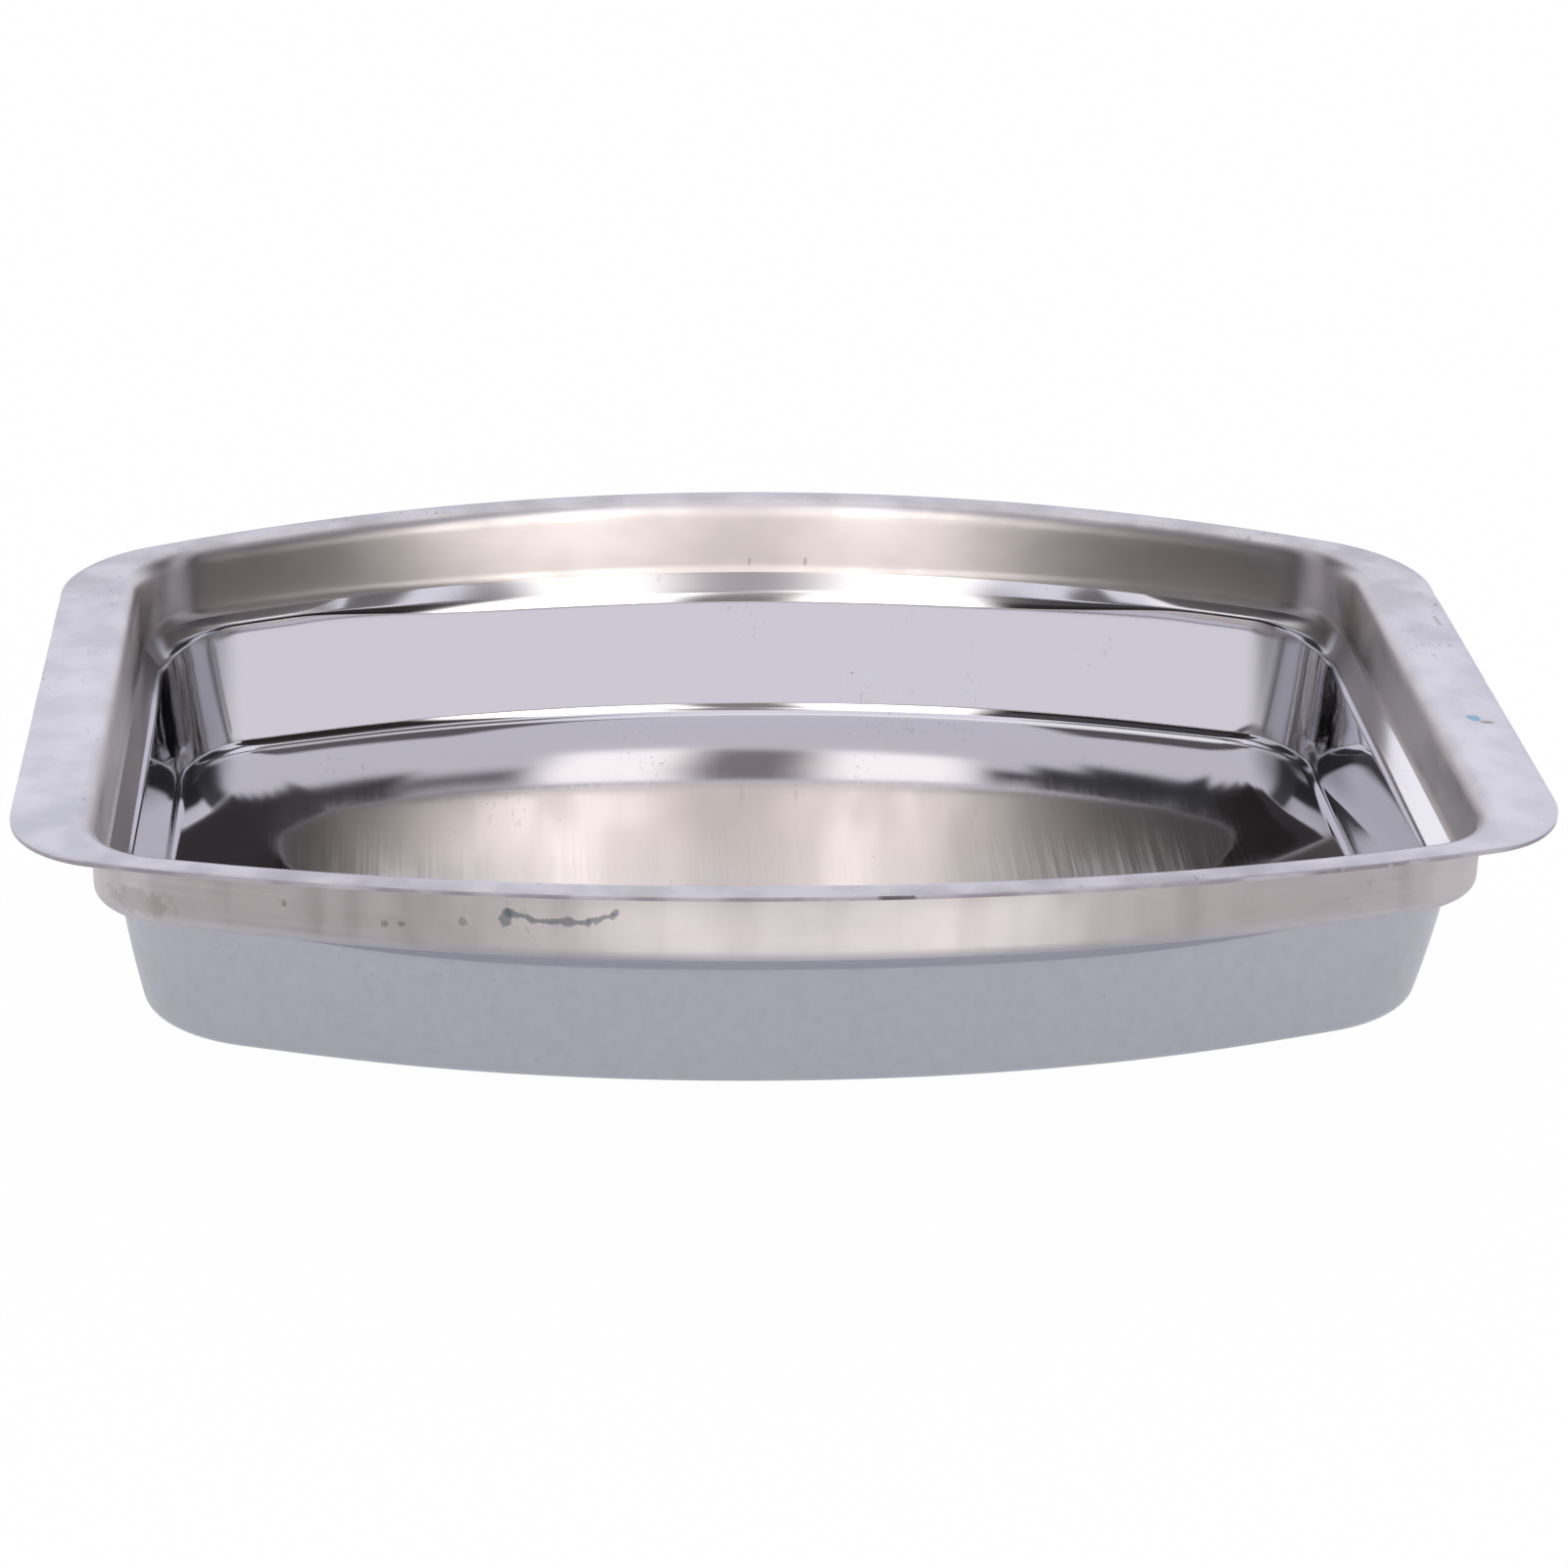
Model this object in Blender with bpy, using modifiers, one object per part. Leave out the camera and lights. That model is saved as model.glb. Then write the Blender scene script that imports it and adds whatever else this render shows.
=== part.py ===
"""Stainless steel tray drawn from one sheet.

A flange with straight ends and bowed long edges turns down into a short upright band,
a rounded shoulder, a drafted lower wall and a floor dished around a flat pad. The rim is
arched: it is highest at the middle of the long edges and droops towards both ends.
Metres, +Z up. The origin is the middle of the pad's underside, where the tray rests.
"""
import math

import bmesh
import bpy

# Sheet and outline of the flange
SHEET = 0.0005
LENGTH = 0.180
DEPTH = 0.127
END_DEPTH = 0.089
FLANGE_CORNER = 0.0160
WING_WIDTH = 0.0098
LIP_WIDTH = 0.0046

# Heights and the section of the wall, measured on the inner face
RIM_HEIGHT = 0.0352
RIM_DROOP = 0.0026
RIM_RADIUS = 0.0022
BAND_CORNER = 0.0115
BAND_HEIGHT = 0.0093
SHOULDER_WIDTH = 0.0028
SHOULDER_DROP = 0.0024
SHOULDER_RADIUS = 0.0018
SHOULDER_ROLL_RADIUS = 0.0065
LONG_WALL_DRAFT = math.radians(11.2)
END_WALL_DRAFT = math.radians(7.0)

# Floor
FLOOR_CORNER = 0.0150
FLOOR_RADIUS = 0.0020
FLOOR_DISH = 0.0065
DISH_CURVE = 1.5
PAD_LENGTH = 0.100
PAD_DEPTH = 0.012

# Mesh fineness
SIDE_STEPS = 4
CORNER_STEPS = 7
BOW_STEPS = 10
FILLET_STEPS = 4
DISH_STEPS = 5

# The bowed edge is an arc through the two ends of the straight sides
BOW = (DEPTH - END_DEPTH) / 2
BOW_RADIUS = ((LENGTH / 2) ** 2 + BOW ** 2) / (2 * BOW)
BOW_CENTRE = DEPTH / 2 - BOW_RADIUS


def clear_scene():
    for item in list(bpy.data.objects):
        bpy.data.objects.remove(item, do_unlink=True)


def quarter_outline(half_length, arc_radius, corner):
    """Points from the middle of the right end, round the corner, to the middle of the back."""
    corner_x = half_length - corner
    corner_y = BOW_CENTRE + math.sqrt((arc_radius - corner) ** 2 - corner_x ** 2)
    turn = math.atan2(corner_y - BOW_CENTRE, corner_x)
    points = []
    for step in range(SIDE_STEPS):
        points.append((half_length, corner_y * step / SIDE_STEPS))
    for step in range(CORNER_STEPS):
        angle = turn * step / CORNER_STEPS
        points.append((corner_x + corner * math.cos(angle), corner_y + corner * math.sin(angle)))
    for step in range(BOW_STEPS + 1):
        angle = turn + (math.pi / 2 - turn) * step / BOW_STEPS
        points.append((arc_radius * math.cos(angle), BOW_CENTRE + arc_radius * math.sin(angle)))
    return points


def quarter_pad():
    """The flat pad's outline, an ellipse with a point for each point of the other outlines."""
    count = SIDE_STEPS + CORNER_STEPS + BOW_STEPS
    points = []
    for step in range(count + 1):
        angle = math.pi / 2 * step / count
        points.append((PAD_LENGTH / 2 * math.cos(angle), PAD_DEPTH / 2 * math.sin(angle)))
    return points


def whole_ring(quarter):
    """Mirror a quarter outline into a closed ring, counter-clockwise seen from above."""
    back_left = [(-x, y) for x, y in reversed(quarter[:-1])]
    front_left = [(-x, -y) for x, y in quarter[1:]]
    front_right = [(x, -y) for x, y in reversed(quarter[1:-1])]
    return quarter + back_left + front_left + front_right


def round_corners(corners, radii):
    """Section points with each inner corner replaced by an arc no longer than its walls allow."""
    section = []
    for index, radius in enumerate(radii, start=1):
        before, here, after = corners[index - 1], corners[index], corners[index + 1]
        way_in = (here[0] - before[0], here[1] - before[1])
        way_out = (after[0] - here[0], after[1] - here[1])
        length_in, length_out = math.hypot(*way_in), math.hypot(*way_out)
        way_in = (way_in[0] / length_in, way_in[1] / length_in)
        way_out = (way_out[0] / length_out, way_out[1] / length_out)
        turn = math.atan2(way_in[0] * way_out[1] - way_in[1] * way_out[0],
                          way_in[0] * way_out[0] + way_in[1] * way_out[1])
        side = math.copysign(1, turn)
        tangent = min(radius * math.tan(abs(turn) / 2), 0.48 * length_in, 0.48 * length_out)
        radius = tangent / math.tan(abs(turn) / 2)
        start = (here[0] - way_in[0] * tangent, here[1] - way_in[1] * tangent)
        centre = (start[0] - side * way_in[1] * radius, start[1] + side * way_in[0] * radius)
        for step in range(FILLET_STEPS + 1):
            angle = turn * step / FILLET_STEPS
            arm = (start[0] - centre[0], start[1] - centre[1])
            section.append((centre[0] + arm[0] * math.cos(angle) - arm[1] * math.sin(angle),
                            centre[1] + arm[0] * math.sin(angle) + arm[1] * math.cos(angle)))
    return section


def wall_section(draft, floor_half, pad_half):
    """Inset from the band's inner face and height, from the flange in to the floor's edge."""
    shoulder_top = RIM_HEIGHT - BAND_HEIGHT
    shoulder_foot = shoulder_top - SHOULDER_DROP
    floor_edge = SHEET + FLOOR_DISH
    floor_inset = SHOULDER_WIDTH + (shoulder_foot - floor_edge) * math.tan(draft)
    floor_reach = floor_half - floor_inset - pad_half
    corners = [
        (-LIP_WIDTH, RIM_HEIGHT),
        (0.0, RIM_HEIGHT),
        (0.0, shoulder_top),
        (SHOULDER_WIDTH, shoulder_foot),
        (floor_inset, floor_edge),
        (floor_inset + floor_reach / DISH_CURVE, SHEET),
    ]
    return round_corners(corners, [RIM_RADIUS, SHOULDER_RADIUS, SHOULDER_ROLL_RADIUS, FLOOR_RADIUS])


def droop(x, height):
    """How far a point sinks: by the square of its distance from the middle, nothing at the floor."""
    floor_edge = SHEET + FLOOR_DISH
    share = max(0.0, (height - floor_edge) / (RIM_HEIGHT - floor_edge))
    return RIM_DROOP * share * (x / (LENGTH / 2)) ** 2


def corner_radius(inset, floor_inset):
    """True offset outside the band, then an even change to the floor's own corner."""
    if inset < 0:
        return BAND_CORNER - inset
    return BAND_CORNER + (FLOOR_CORNER - BAND_CORNER) * inset / floor_inset


def tray_rings():
    """Every ring of the inner face, from the cut edge in to the pad, as points in space."""
    band_half = LENGTH / 2 - WING_WIDTH
    band_arc = BOW_RADIUS - LIP_WIDTH
    end_section = wall_section(END_WALL_DRAFT, band_half, PAD_LENGTH / 2)
    long_section = wall_section(LONG_WALL_DRAFT, DEPTH / 2 - LIP_WIDTH, PAD_DEPTH / 2)
    floor_inset = long_section[-1][0]
    flange = whole_ring(quarter_outline(LENGTH / 2, BOW_RADIUS, FLANGE_CORNER))
    rings = [[(x, y, RIM_HEIGHT - droop(x, RIM_HEIGHT)) for x, y in flange]]
    for (end_inset, end_height), (long_inset, long_height) in zip(end_section, long_section):
        corner = corner_radius(long_inset, floor_inset)
        ring = whole_ring(quarter_outline(band_half - end_inset, band_arc - long_inset, corner))
        height = (end_height + long_height) / 2
        rings.append([(x, y, height - droop(x, height)) for x, y in ring])
    pad = whole_ring(quarter_pad())
    for step in range(DISH_STEPS - 1, -1, -1):
        share = step / DISH_STEPS
        depth = SHEET + (height - SHEET) * share ** DISH_CURVE
        rings.append([(p[0] + (e[0] - p[0]) * share, p[1] + (e[1] - p[1]) * share, depth)
                      for p, e in zip(pad, ring)])
    return rings


def build_tray(collection):
    """Loft the rings into an open sheet, close the pad and give the sheet its thickness."""
    sheet = bmesh.new()
    loops = [[sheet.verts.new(point) for point in ring] for ring in tray_rings()]
    count = len(loops[0])
    for outer, inner in zip(loops, loops[1:]):
        for index in range(count):
            after = (index + 1) % count
            sheet.faces.new((outer[index], outer[after], inner[after], inner[index]))
    sheet.faces.new(loops[-1])
    bmesh.ops.recalc_face_normals(sheet, faces=sheet.faces)
    if sheet.faces[-1].normal.z < 0:
        bmesh.ops.reverse_faces(sheet, faces=sheet.faces)
    mesh = bpy.data.meshes.new("pressed_tray")
    sheet.to_mesh(mesh)
    sheet.free()
    mesh.shade_smooth()
    mesh.set_sharp_from_angle(angle=math.radians(40))
    tray = bpy.data.objects.new("pressed_tray", mesh)
    collection.objects.link(tray)
    thicken = tray.modifiers.new("sheet thickness", "SOLIDIFY")
    thicken.thickness = SHEET
    thicken.offset = -1.0
    thicken.use_even_offset = True
    return tray


def stainless_steel():
    material = bpy.data.materials.new("stainless_steel")
    material.use_nodes = True
    shader = material.node_tree.nodes["Principled BSDF"]
    shader.inputs["Base Color"].default_value = (0.66, 0.65, 0.66, 1.0)
    shader.inputs["Metallic"].default_value = 1.0
    shader.inputs["Roughness"].default_value = 0.18
    return material


def main():
    clear_scene()
    collection = bpy.data.collections.new("stainless_steel_tray")
    bpy.context.scene.collection.children.link(collection)
    tray = build_tray(collection)
    tray.data.materials.append(stainless_steel())


main()
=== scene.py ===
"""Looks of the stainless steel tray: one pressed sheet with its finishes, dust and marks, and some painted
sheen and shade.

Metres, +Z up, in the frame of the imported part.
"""
import math

import bmesh
import bpy
from mathutils import Matrix, Vector, noise


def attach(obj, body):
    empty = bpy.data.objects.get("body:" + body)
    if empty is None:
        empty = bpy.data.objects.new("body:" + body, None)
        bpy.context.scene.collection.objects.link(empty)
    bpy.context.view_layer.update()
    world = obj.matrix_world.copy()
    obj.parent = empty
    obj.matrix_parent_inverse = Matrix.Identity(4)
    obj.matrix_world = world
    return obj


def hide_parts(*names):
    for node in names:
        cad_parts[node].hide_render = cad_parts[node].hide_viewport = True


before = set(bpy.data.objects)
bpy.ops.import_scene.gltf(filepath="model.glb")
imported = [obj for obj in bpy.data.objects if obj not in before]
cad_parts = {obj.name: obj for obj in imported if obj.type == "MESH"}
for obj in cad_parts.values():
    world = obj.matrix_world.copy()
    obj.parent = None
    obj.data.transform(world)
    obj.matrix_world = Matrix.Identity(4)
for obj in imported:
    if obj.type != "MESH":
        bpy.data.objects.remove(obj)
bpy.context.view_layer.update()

# Sheet and outline of the flange
SHEET = 0.0005
LENGTH = 0.180
DEPTH = 0.127
END_DEPTH = 0.089
FLANGE_CORNER = 0.0160
WING_WIDTH = 0.0098
LIP_WIDTH = 0.0046

# Section of the wall, on the inner face
RIM_HEIGHT = 0.0352
RIM_DROOP = 0.0026
RIM_RADIUS = 0.0022
BAND_CORNER = 0.0115
BAND_HEIGHT = 0.0093
SHOULDER_WIDTH = 0.0028
SHOULDER_DROP = 0.0032
SHOULDER_RADIUS = 0.0018
SHOULDER_ROLL_RADIUS = 0.0031

# Near the corners of the long sides the shoulder is flatter and its roll tighter: the form there,
# how far from the middle it is reached, and how late it sets in
FLAT_SHOULDER_DROP = 0.0014
FLAT_ROLL_RADIUS = 0.0005
FLAT_PLACE = 0.061
FLAT_RISE = 3

# Draft of the lower wall
LONG_WALL_DRAFT = math.radians(11.2)
END_WALL_DRAFT = math.radians(7.0)

# How far the lower wall stands out between its two bends
WALL_BOW = 0.0001

# Floor
FLOOR_CORNER = 0.0150
FLOOR_RADIUS = 0.0020
FLOOR_DISH = 0.0065
DISH_CURVE = 1.5
PAD_LENGTH = 0.100
PAD_DEPTH = 0.012

# Fineness of the sheet's mesh
SIDE_STEPS = 12
CORNER_STEPS = 22
BOW_STEPS = 56
FLANGE_STEPS = 4
FILLET_STEPS = 9
WALL_STEPS = 8
DISH_STEPS = 22

# Places on the section, counted as wall_section does: where the satin band ends, and the stretches
# over which one finish passes into the next
BAND_FOOT = 3.99
FLANGE_FADE = (0.9, 1.6)
BAND_START = (1.0, 1.9)
OUTER_BAND_FADE = (2.8, 4.0)
ROLL_FADE = (5.1, 5.9)
FLOOR_START = (7.6, 8.2)
WORN_START = (8.1, 8.6)

# Places along and across the tray: where the band's painted sheen, brighter along the middle, fades
# towards the ends and how far that drifts, and where the pan's rougher, painted-dark corners start
SHEEN_FADE = (0.014, 0.066)
SHEEN_DRIFT = 0.02
CORNER_ALONG = (0.0675, 0.0715)
CORNER_ACROSS = (0.024, 0.034)

# The sheet's materials are listed inside first: how much further down the outside and the edge are
OUTSIDE_OFFSET = 2
CUT_EDGE_OFFSET = 4

# Small shapes: the cut edge's rounding and nicks, the angle up to which faces are shaded as one,
# and the relief of the finishes
EDGE_ROUNDING = 0.00008
EDGE_SEGMENTS = 2
EDGE_ANGLE = math.radians(60)
SMOOTH_ANGLE = math.radians(40)
NICK_DEPTH = 0.00016
NICK_SPACING = 0.0042
NICK_START = 0.35
RELIEF = 0.0000022
EDGE_RELIEF = 4 * RELIEF

# Polishing lines run round the tray, a quarter turn from the shader's own direction, and spread
# a reflection across themselves
POLISH_SPREAD = 0.95
POLISH_TURN = 0.25

# Roughness of the finishes where their noise is low and where it is high; the satin band's comes on
# top of the wing's, and the worn floor's on top of the pan's
WING_ROUGHNESS = (0.30, 0.22)
SATIN_ROUGHNESS = (0.11, 0.15)
WORN_ROUGHNESS = (0.02, 0.07)
OUTER_BAND_ROUGHNESS = (0.38, 0.42)
OUTER_PAN_ROUGHNESS = (0.26, 0.19)
CUT_EDGE_ROUGHNESS = (0.45, 0.35)

# Roughness of the mirror pan, and what the shoulder's roll and the drawn corners add to it
PAN_ROUGHNESS = 0.045
ROLL_DULLNESS = 0.06
CORNER_DULLNESS = 0.07

# Noise mostly lies between these two values
NOISE_LOW = 0.3
NOISE_HIGH = 0.7

# Where in its noise each pattern sets in and is full, and how far from its middle a speck fades
FLECK_CUT = (0.63, 0.70)
FLECK_PATCH_CUT = (0.54, 0.68)
SPECK_CUT = (0.86, 0.88)
SPECK_FADE = (0.025, 0.055)
SMEAR_CUT = (0.42, 0.72)
SMEAR_SHARE = 0.30
EDGE_CUT = (0.35, 0.65)

# Cells to the metre of each pattern along x, y and z, and of the specks along all three
DRIFT_CELLS = (60, 60, 90)
MOTTLE_CELLS = (150, 150, 260)
LINE_CELLS = (35, 35, 3200)
SMEAR_CELLS = (210, 210, 25)
WAVE_CELLS = (45, 60, 60)
FLECK_CELLS = (1500, 600, 900)
FLECK_PATCH_CELLS = (75, 60, 75)
FRAY_CELLS = (900, 900, 900)
WAVER_CELLS = (420, 0, 0)
STROKE_CELLS = (650, 0, 300)
WING_CELLS = (150, 150, 150)
GRAIN_CELLS = (2400, 40, 40)
HAZE_CELLS = (700, 700, 500)
EDGE_CELLS = (160, 160, 160)
SPECK_CELLS = 260.0

# Colours of the finishes
WING_TINT = (0.53, 0.53, 0.58)
WING_DULL = (0.46, 0.46, 0.51)
BAND_TINT = (0.82, 0.77, 0.745)
WALL_TINT = (0.71, 0.705, 0.73)
FLOOR_TINT = (0.71, 0.70, 0.71)
CORNER_PAINTED_DARK = (0.44, 0.44, 0.46)
OUTER_BAND_TINT = (0.80, 0.745, 0.74)
OUTER_BAND_DULL = (0.56, 0.51, 0.51)
OUTER_PAN_SHADED_TINT = (0.54, 0.55, 0.61)
OUTER_PAN_SHADED_DULL = (0.52, 0.532, 0.592)
CUT_EDGE_DULL = (0.40, 0.36, 0.40)
CUT_EDGE_TINT = (0.60, 0.57, 0.61)
CUT_EDGE_PIT = (0.16, 0.14, 0.15)
EDGE_STAIN = (0.13, 0.10, 0.11)
EDGE_SHADE = (0.20, 0.16, 0.18)
SMUDGE_BLUE = (0.13, 0.17, 0.21)
PAINT_BLUE = (0.10, 0.28, 0.42)
STAIN_BROWN = (0.24, 0.20, 0.18)
SCRATCH_GREY = (0.34, 0.33, 0.37)

# The long smudge on the front band
SMUDGE_START = -0.0342
SMUDGE_LENGTH = 0.0130
SMUDGE_HEIGHT = 0.0307
SMUDGE_SAG = 0.0011
SMUDGE_WIDTH = 0.0008
SMUDGE_STRENGTH = 0.65

# Marks: how far their outlines fray, where in their reach they fade, and for each its centre and
# reach in millimetres, its strength and its colour
MM_PER_METRE = 1000
MARK_FRAY = 1.6
MARK_FADE = (0.55, 1.0)
INSIDE_MARKS = [
    ((88.2, 21.5, 33.0), (0.45, 2.0, 4.0), 0.5, STAIN_BROWN),
    ((85.7, -10.5, 33.0), (1.1, 1.0, 3.0), 0.8, PAINT_BLUE),
    ((87.2, -11.6, 33.0), (1.0, 0.6, 3.0), 0.9, STAIN_BROWN),
    ((1.1, 58.8, 26.8), (0.22, 2.0, 0.9), 0.4, STAIN_BROWN),
    ((8.8, 58.7, 26.8), (0.28, 2.0, 1.0), 0.4, STAIN_BROWN),
]
OUTSIDE_MARKS = [
    ((-33.7, -57.0, 29.9), (0.80, 5.0, 1.4), 0.6, SMUDGE_BLUE),
    ((-21.6, -58.5, 30.9), (0.60, 5.0, 0.60), 0.6, SMUDGE_BLUE),
    ((-24.5, -58.0, 29.6), (0.35, 5.0, 0.8), 0.35, SMUDGE_BLUE),
    ((-58.3, -51.5, 29.2), (0.50, 3.0, 0.55), 0.55, STAIN_BROWN),
    ((-47.1, -54.3, 28.0), (0.50, 3.0, 0.50), 0.5, STAIN_BROWN),
    ((-45.2, -54.7, 28.2), (0.55, 3.0, 0.50), 0.5, STAIN_BROWN),
    ((-38.3, -56.0, 29.0), (0.65, 3.0, 0.65), 0.45, STAIN_BROWN),
    ((-74.5, -46.0, 27.0), (4.5, 7.0, 2.0), 0.25, STAIN_BROWN),
]
EDGE_MARKS = [
    ((9.0, -63.0, 34.8), (2.8, 2.0, 0.8), 0.8, EDGE_STAIN),
    ((62.0, -52.0, 34.0), (9.0, 6.0, 2.0), 0.6, EDGE_SHADE),
]

# Table, and how white it looks to the camera and in the steel
TABLE_SIZE = 6.0
TABLE_COLOUR = (0.88, 0.88, 0.90)
TABLE_SEEN_WHITE = 0.985
TABLE_MIRRORED_WHITE = 0.45
WHITE = (1.0, 1.0, 1.0)

# Colours of the studio's panels, which the steel mirrors
STUDIO_BASE = (0.92, 0.91, 1.0)
BACK_PALE = (1.2, 1.18, 1.24)
BACK_DARK = (0.14, 0.12, 0.11)
BACK_LAMP = (1.35, 1.3, 1.26)
SIDE_DARK = (0.05, 0.05, 0.055)
SIDE_GREY = (0.10, 0.10, 0.11)
RIGHT_TOP_GREY = (0.18, 0.17, 0.18)
LEFT_TOP_GREY = (0.16, 0.15, 0.16)
FRONT_BLACK = (0.03, 0.025, 0.025)
FRONT_DARK = (0.055, 0.05, 0.055)
FRONT_RIGHT_GREY = (0.24, 0.22, 0.24)
FRONT_EDGE_DARK = (0.08, 0.075, 0.08)
FRONT_LEFT_DARK = (0.06, 0.06, 0.065)
FRONT_LAMP = (3.1, 2.98, 2.9)
FRONT_LAMP_TOP = (1.85, 1.77, 1.74)
LAMP_GAP = (0.30, 0.27, 0.27)
LAMP_GAP_TOP = (0.34, 0.31, 0.32)

# The dark front ends in a slanted edge on both sides, made of steps: heading and top of the first
# step, and how far each further step goes round and comes down, in degrees
FRONT_END_STEPS = 6
RIGHT_END = (51.0, 64.7)
RIGHT_STEP = (1.8, 1.55)
LEFT_END = (-40.0, 65.6)
LEFT_STEP = (4.0, 0.96)

# The bowed edge is an arc through the two ends of the straight sides
BOW = (DEPTH - END_DEPTH) / 2
BOW_RADIUS = ((LENGTH / 2) ** 2 + BOW ** 2) / (2 * BOW)
BOW_CENTRE = DEPTH / 2 - BOW_RADIUS
FLOOR_EDGE = SHEET + FLOOR_DISH

# Camera, from the photograph's perspective: distances in tray lengths, angles in radians
IMAGE_WIDTH = 1601
FOCAL_PIXELS = 4200.0
CAMERA_PITCH = 0.42561
CAMERA_HEADING = 0.08428
CAMERA_ROLL = -0.02615
CAMERA_DISTANCE = 2.88553
CAMERA_SIDE = -0.01115
CAMERA_RISE = -0.06563
SENSOR_MM = 36.0


# Shape of the sheet


def quarter_outline(half_length, arc_radius, corner):
    """Points from the middle of the right end, round the corner, to the middle of the back."""
    corner_x = half_length - corner
    corner_y = BOW_CENTRE + math.sqrt((arc_radius - corner) ** 2 - corner_x ** 2)
    turn = math.atan2(corner_y - BOW_CENTRE, corner_x)
    points = []
    for step in range(SIDE_STEPS):
        points.append((half_length, corner_y * step / SIDE_STEPS))
    for step in range(CORNER_STEPS):
        angle = turn * step / CORNER_STEPS
        points.append((corner_x + corner * math.cos(angle), corner_y + corner * math.sin(angle)))
    for step in range(BOW_STEPS + 1):
        angle = turn + (math.pi / 2 - turn) * step / BOW_STEPS
        points.append((arc_radius * math.cos(angle), BOW_CENTRE + arc_radius * math.sin(angle)))
    return points


def quarter_pad():
    """The flat pad's outline, an ellipse with a point for each point of the other outlines."""
    count = SIDE_STEPS + CORNER_STEPS + BOW_STEPS
    points = []
    for step in range(count + 1):
        angle = math.pi / 2 * step / count
        points.append((PAD_LENGTH / 2 * math.cos(angle), PAD_DEPTH / 2 * math.sin(angle)))
    return points


def whole_ring(quarter):
    """Mirror a quarter outline into a closed ring, counter-clockwise seen from above."""
    back_left = [(-x, y) for x, y in reversed(quarter[:-1])]
    front_left = [(-x, -y) for x, y in quarter[1:]]
    front_right = [(x, -y) for x, y in reversed(quarter[1:-1])]
    return quarter + back_left + front_left + front_right


def blend(low, high, share):
    """The value that lies a share of the way from low to high."""
    return low + (high - low) * share


def corner_arc(before, here, after, radius):
    """Points of the arc that rounds the corner of a section at the point here."""
    way_in = (Vector(here) - Vector(before)).normalized()
    way_out = (Vector(after) - Vector(here)).normalized()
    turn = math.atan2(way_in.x * way_out.y - way_in.y * way_out.x, way_in.dot(way_out))
    side = math.copysign(1, turn)
    start = Vector(here) - way_in * radius * math.tan(abs(turn) / 2)
    arm = Vector((way_in.y, -way_in.x)) * radius * side
    centre = start - arm
    points = []
    for step in range(FILLET_STEPS + 1):
        turned = Matrix.Rotation(turn * step / FILLET_STEPS, 2) @ arm
        points.append(tuple(centre + turned))
    return points


def wall_section(draft, floor_half, pad_half, shoulder_drop, roll_radius):
    """Rows of (inset, height, section) of the wall, from the flange in to the floor's edge.

    The section counts the bends: 1 to 2 is the rim bend, 3 to 4 the foot of the band,
    5 to 6 the shoulder's roll and 7 to 8 the bend into the floor, with the straight parts between.
    """
    shoulder_top = RIM_HEIGHT - BAND_HEIGHT
    shoulder_foot = shoulder_top - shoulder_drop
    floor_inset = SHOULDER_WIDTH + (shoulder_foot - FLOOR_EDGE) * math.tan(draft)
    floor_reach = floor_half - floor_inset - pad_half
    corners = [
        (-LIP_WIDTH, RIM_HEIGHT),
        (0.0, RIM_HEIGHT),
        (0.0, shoulder_top),
        (SHOULDER_WIDTH, shoulder_foot),
        (floor_inset, FLOOR_EDGE),
        (floor_inset + floor_reach / DISH_CURVE, SHEET),
    ]
    radii = (RIM_RADIUS, SHOULDER_RADIUS, roll_radius, FLOOR_RADIUS)
    rows = []
    for bend, radius in enumerate(radii, start=1):
        arc = corner_arc(corners[bend - 1], corners[bend], corners[bend + 1], radius)
        if rows:
            last = rows[-1]
            bow = WALL_BOW if bend == len(radii) else 0.0
            for step in range(1, WALL_STEPS):
                share = step / WALL_STEPS
                inset = blend(last[0], arc[0][0], share) - bow * 4 * share * (1 - share)
                height = blend(last[1], arc[0][1], share)
                rows.append((inset, height, last[2] + share))
        for step, (inset, height) in enumerate(arc):
            rows.append((inset, height, 2 * bend - 1 + step / FILLET_STEPS))
    return rows


def droop(x, height):
    """How far a point sinks: by the square of its distance from the middle, nothing at the floor."""
    share = max(0.0, (height - FLOOR_EDGE) / (RIM_HEIGHT - FLOOR_EDGE))
    return RIM_DROOP * share * (x / (LENGTH / 2)) ** 2


def corner_radius(inset, floor_inset):
    """True offset outside the band, then an even change to the floor's own corner."""
    if inset < 0:
        return BAND_CORNER - inset
    return blend(BAND_CORNER, FLOOR_CORNER, inset / floor_inset)


def between(first, second, share):
    """The ring that lies between two rings of as many points."""
    return [(blend(a[0], b[0], share), blend(a[1], b[1], share)) for a, b in zip(first, second)]


def ragged(edge, flange):
    """The cut edge with the small inward nicks that shearing leaves."""
    ring = []
    for outer, inner in zip(edge, flange):
        rough = noise.noise(Vector((outer[0], outer[1], 0.0)) / NICK_SPACING)
        share = NICK_DEPTH / LIP_WIDTH * max(0.0, rough - NICK_START)
        ring.append((blend(outer[0], inner[0], share), blend(outer[1], inner[1], share)))
    return ring


def wall_rings(shoulder_drop, roll_radius):
    """Rings of the wall with their section, for one form of the shoulder, before the rim droops."""
    band_half = LENGTH / 2 - WING_WIDTH
    band_arc = BOW_RADIUS - LIP_WIDTH
    end_section = wall_section(END_WALL_DRAFT, band_half, PAD_LENGTH / 2, shoulder_drop, roll_radius)
    long_section = wall_section(
        LONG_WALL_DRAFT, DEPTH / 2 - LIP_WIDTH, PAD_DEPTH / 2, shoulder_drop, roll_radius)
    floor_inset = long_section[-1][0]
    rings = []
    for (end_inset, end_height, section), (long_inset, long_height, _) in zip(end_section, long_section):
        corner = corner_radius(long_inset, floor_inset)
        height = (end_height + long_height) / 2
        outline = whole_ring(quarter_outline(band_half - end_inset, band_arc - long_inset, corner))
        rings.append(([(x, y, height) for x, y in outline], section))
    return rings


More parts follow.
